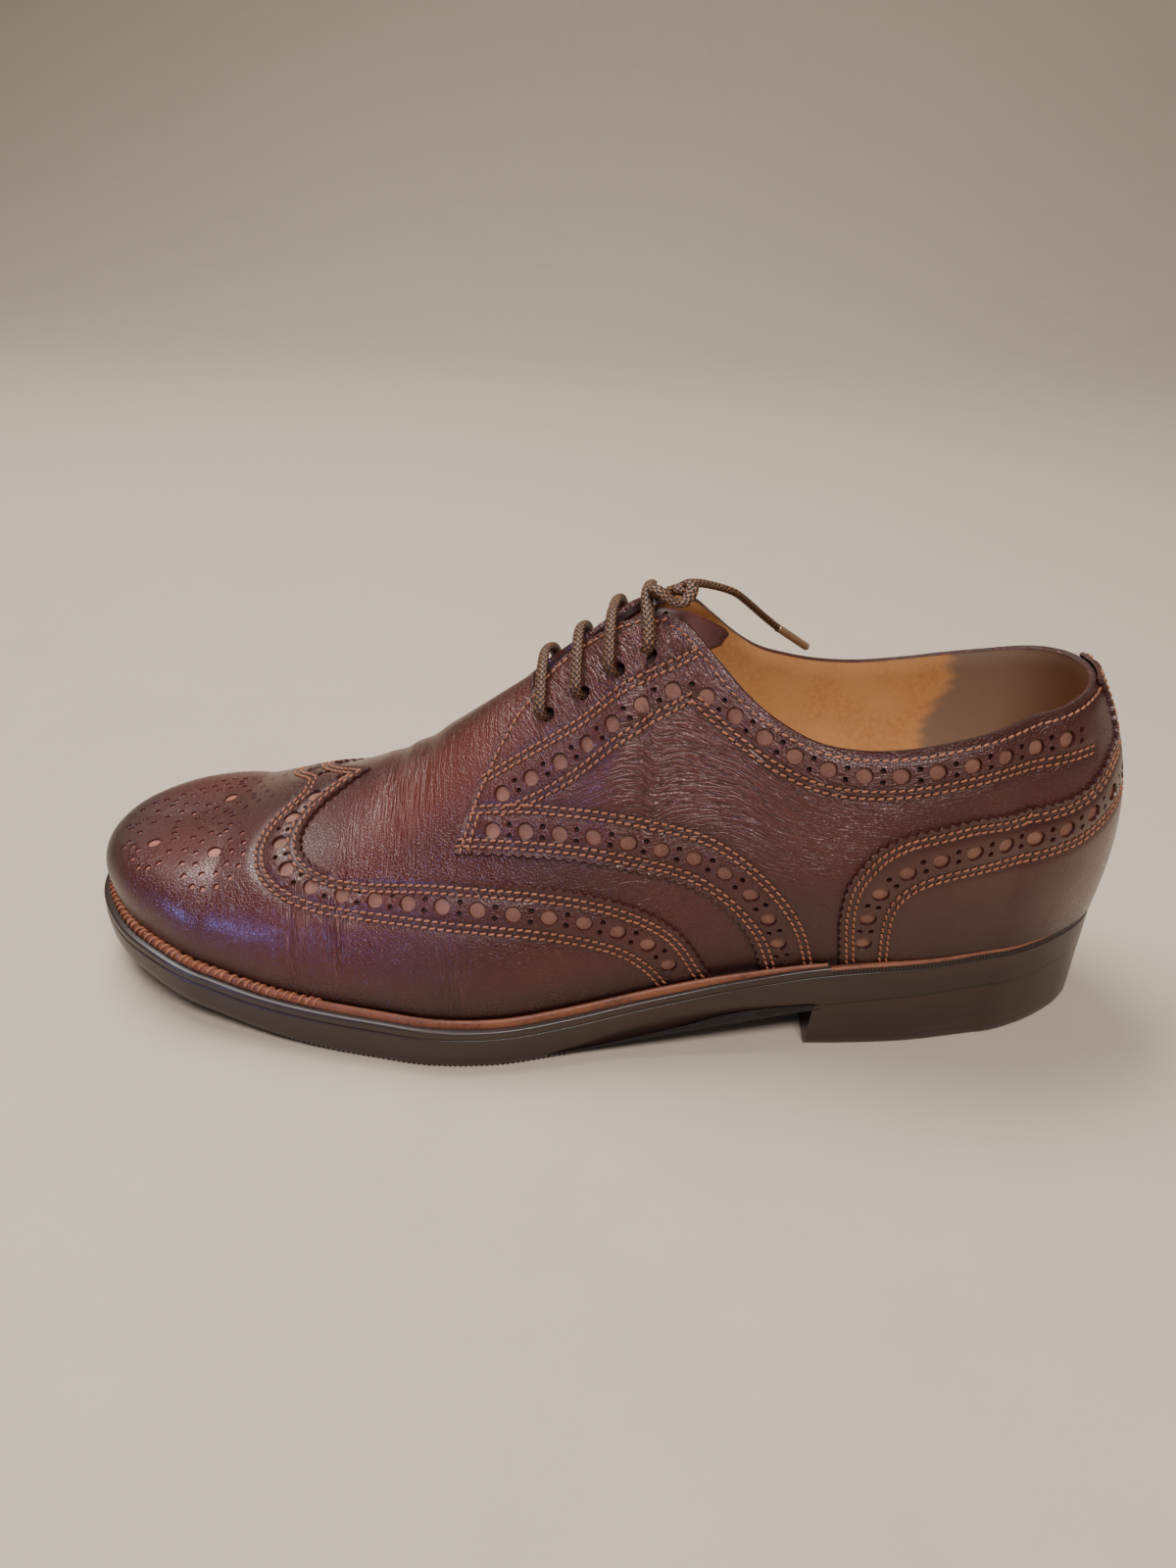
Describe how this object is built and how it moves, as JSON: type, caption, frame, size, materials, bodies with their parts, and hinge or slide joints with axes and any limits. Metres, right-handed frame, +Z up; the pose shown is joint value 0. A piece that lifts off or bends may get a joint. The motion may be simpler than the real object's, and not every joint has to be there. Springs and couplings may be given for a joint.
{
  "type": "full brogue derby",
  "caption": "Full brogue derby shoe in burgundy leather with a wing cap, open lacing, a storm welt and a rubber sole",
  "frame": {"origin": "on the floor under the middle of the shoe's length and width", "axes": "+X from the toe to the heel, +Y towards the inner side of the foot, +Z up"},
  "size_m": [0.3088, 0.1098, 0.1295],
  "materials": {
    "upper": "burnished",
    "sole": "satin",
    "welt": "waxed",
    "lining": "matte",
    "lace": "matte",
    "aglet": "gloss"
  },
  "bodies": {
    "root": {"outsole": "sole", "heel_stack": "sole", "heel_top_lift": "sole", "welt": "welt", "heel_rand": "welt", "insole": "lining", "upper": "upper", "tongue": "upper", "lace_bar_1": "lace", "lace_bar_2": "lace", "lace_bar_3": "lace", "lace_bar_4": "lace", "lace_knot": "lace", "lace_end": "lace", "aglet": "aglet"}
  },
  "joints": []
}
